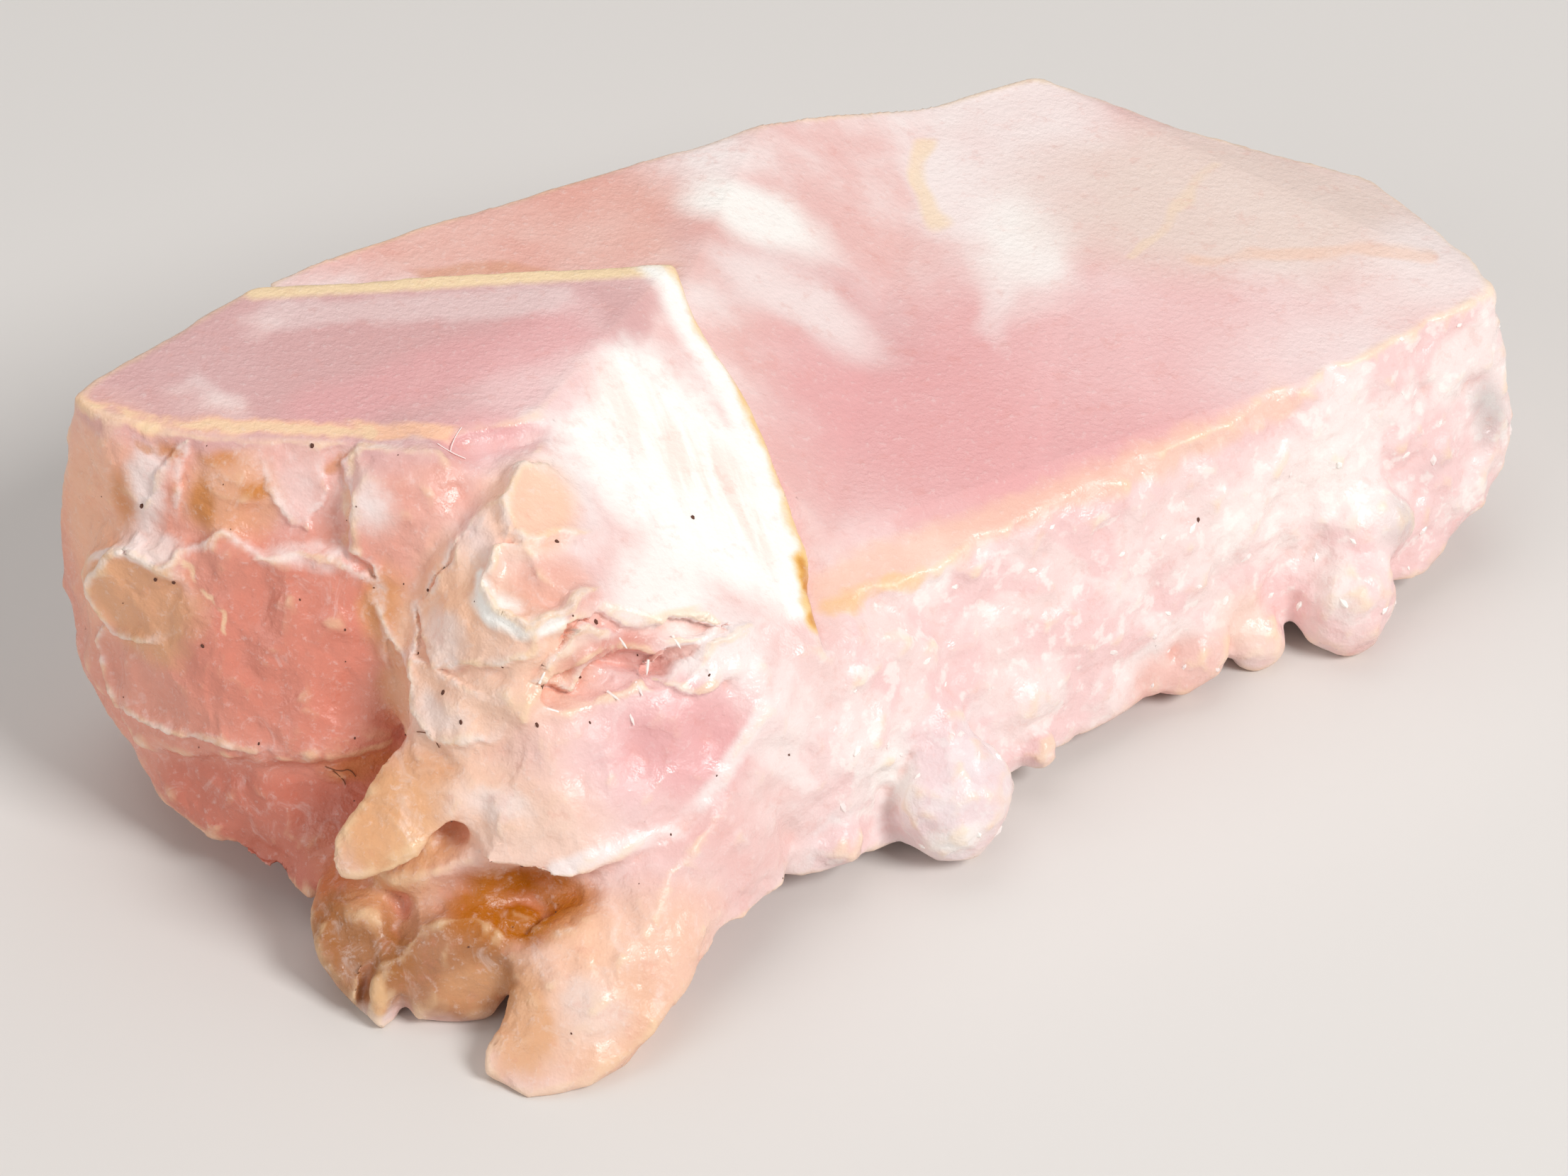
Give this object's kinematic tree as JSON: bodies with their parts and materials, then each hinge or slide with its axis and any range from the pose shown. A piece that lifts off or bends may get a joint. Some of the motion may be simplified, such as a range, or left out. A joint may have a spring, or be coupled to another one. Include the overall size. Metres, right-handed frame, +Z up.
{
  "type": "rose quartz specimen",
  "caption": "Palm-sized broken piece of pink rose quartz with smooth cleaved faces, a flaky front and a granular side; rests on its broken base.",
  "frame": {"origin": "under the middle of the stone's box, on the surface that it rests on", "axes": "+Z up, +X along the stone's length to the viewer's right, +Y away from the viewer"},
  "size_m": [0.0578, 0.048, 0.018],
  "materials": {
    "rose_quartz": "glassy broken quartz, satin on cleaved faces, sugary on the side"
  },
  "bodies": {
    "root": {"rose_quartz": "rose_quartz"}
  },
  "joints": []
}
